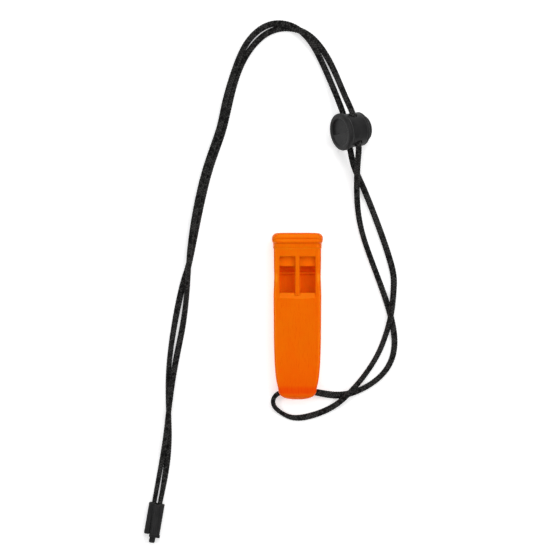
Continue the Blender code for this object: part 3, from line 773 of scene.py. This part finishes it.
def lock_plunger(dark):
    place = lock_matrix()
    edge = 1.2
    profile = [(0, PLUNGER_TIP_Z), (2.8, PLUNGER_TIP_Z + 0.1)]
    profile += arc((PLUNGER_RADIUS - edge, PLUNGER_TIP_Z + edge + 0.25), edge, -75, 0, 8)
    profile += [(PLUNGER_RADIUS, PLUNGER_END_Z - 0.4), (PLUNGER_RADIUS - 0.4, PLUNGER_END_Z)]
    profile += [(POCKET_RADIUS, PLUNGER_END_Z), (POCKET_RADIUS, POCKET_FLOOR_Z), (0, POCKET_FLOOR_Z)]
    plunger = turned("plunger_shell", profile, 96, place)
    width = CORD_DIAMETER / 2 + GAP
    cutters = []
    for side, name in ((-1, "lower"), (1, "upper")):
        y = side * LOCK_HOLE_OFFSET
        outline = slot_outline((y, -LOCK_TRAVEL), (y, 0), width)
        cutters.append(prism(f"{name}_plunger_hole", outline, "X", -12, 12, place))
    return moulded("lock_button_plunger", plunger, dark, 0.13, 3, 0.25, cutters)


# ---------------------------------------------------------------- cord-end clip


def clip_sleeve(dark):
    """A flat sleeve with a raised half-round rib over the wedge's channel."""
    place = clip_matrix()
    half, length = CLIP_HALF_WIDTH, CLIP_HALF_LENGTH
    shell = []
    for y, inset in ((-length, 0.25), (-length + 0.25, 0), (length - 0.25, 0), (length, 0.25)):
        outline = rounded_rectangle((-half + inset, inset), (half - inset, CLIP_DEPTH - inset), 0.7)
        shell.append([(x, y, z) for x, z in outline])
    sleeve = loft("sleeve_shell", shell, place)
    rib = []
    for y, left, right in ((-length + 0.1, -1.4, 2.5), (1.5, -1.6, 1.8), (length - 0.5, -1.65, 1.65)):
        middle, reach = (left + right) / 2, (right - left) / 2
        arch = [(middle + reach * x, y, 3.4 + 2.0 * z) for x, z in arc((0, 0), 1, 0, 180, 24)]
        rib.append(arch)
    additions = [loft("clip_rib", rib, place)]
    radius = CORD_DIAMETER / 2 + GAP
    low = (-CLIP_CORD_X - radius, CLIP_CORD_Z - radius)
    high = (CLIP_CORD_X + radius, CLIP_CORD_Z + radius)
    cords = rounded_rectangle(low, high, radius * 0.98)
    channel = [(-1.2, 2.5), (1.2, 2.5), (1.2, 4.75), (-1.2, 4.75)]
    cutters = [
        prism("clip_cord_space", cords, "Y", -9, 9, place),
        prism("clip_channel", channel, "Y", -9, 9, place),
    ]
    return moulded("clip_case", sleeve, dark, 0.09, 3, 0.25, cutters, additions)


def clip_wedge(dark):
    """A tapered tongue in the channel, thicker towards the free end, where its head and tab show."""
    place = clip_matrix()
    outer = -CLIP_HALF_LENGTH + 0.1
    tip, tail = CLIP_HALF_LENGTH - 2.2, outer - 1.05
    profile = [(tip, 3.85), (tip, 4.25), (outer + 1, 4.45), (tail, 4.45), (tail, 3.5), (outer + 1, 3.5)]
    wedge = prism("wedge_tongue", profile, "X", -0.9, 0.9, place)
    head = rounded_rectangle((-1.0, 0.8), (3.6, 4.9), 0.5)
    tab = rounded_rectangle((-0.65, tail - 2.5), (1.85, outer - 0.3), 0.6)
    additions = [
        prism("wedge_head", head, "Y", tail, outer, place),
        prism("wedge_tab", tab, "Z", 1.6, 3.4, place),
    ]
    return moulded("clip_tongue", wedge, dark, 0.09, 2, 0.3, (), additions)


# ---------------------------------------------------------------- floor and light


def add_floor(pale):
    mesh = bmesh.new()
    bmesh.ops.create_grid(mesh, x_segments=8, y_segments=8, size=4000)
    floor = add_object("floor", mesh, Matrix.Translation((0, 0, -0.03)))
    floor.data.materials.append(pale)


def soft_box(name, azimuth, elevation, distance, size, power):
    """A square light, in metres, that faces the whistle."""
    data = bpy.data.lights.new(name, "AREA")
    data.size = size
    data.energy = power
    light = bpy.data.objects.new(name, data)
    flat = math.cos(math.radians(elevation)) * distance
    turn = math.radians(azimuth)
    rise = math.sin(math.radians(elevation)) * distance
    light.location = (flat * math.cos(turn), flat * math.sin(turn), rise)
    light.rotation_euler = light.location.to_track_quat("Z", "Y").to_euler()
    bpy.context.collection.objects.link(light)


def add_world():
    """White studio walls that darken towards the ceiling, where the camera is."""
    world = bpy.data.worlds.new("studio")
    bpy.context.scene.world = world
    world.use_nodes = True
    tree = world.node_tree
    where = node(tree, "ShaderNodeTexCoord").outputs["Generated"]
    height = node(tree, "ShaderNodeSeparateXYZ", {0: where}).outputs[2]
    strength = spread(tree, height, 0.12, 0.4, 0.1, 0.9)
    back = tree.nodes["Background"]
    back.inputs["Color"].default_value = (1, 1, 1, 1)
    tree.links.new(strength, back.inputs["Strength"])


# ---------------------------------------------------------------- the whole


def build():
    add_camera()
    bpy.context.scene.view_settings.view_transform = "Standard"
    orange = orange_plastic()
    dark = black_plastic()
    cord, path = braided_cord(black_braid())
    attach(cord, "lanyard")
    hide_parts("lanyard_cord")
    pieces = [
        (whistle_body(orange), "whistle", "whistle_body", "orange_plastic"),
        (mouthpiece(orange), "whistle", "mouthpiece", "orange_plastic"),
        (lock_housing(dark), "cord_lock", "cord_lock_housing", "black_plastic"),
        (lock_plunger(dark), "lock_button", "cord_lock_plunger", "black_plastic"),
        (clip_sleeve(dark), "lanyard", "cord_end_sleeve", "black_plastic"),
        (clip_wedge(dark), "lanyard", "cord_end_wedge", "black_plastic"),
    ]
    for piece, body, cad_node, slot in pieces:
        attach(piece, body)
        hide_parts(cad_node)
    steel = spring_steel()
    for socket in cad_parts["cord_lock_spring"].material_slots:
        socket.material = steel
    add_floor(pale_floor())
    soft_box("left_light", 178, 53, 1.1, 0.22, 1.8)
    soft_box("far_light", 75, 56, 1.1, 0.8, 4.7)
    soft_box("near_light", -90, 50, 1.1, 0.7, 0.9)
    soft_box("right_light", 2, 53, 1.1, 0.22, 2.2)
    add_world()


build()
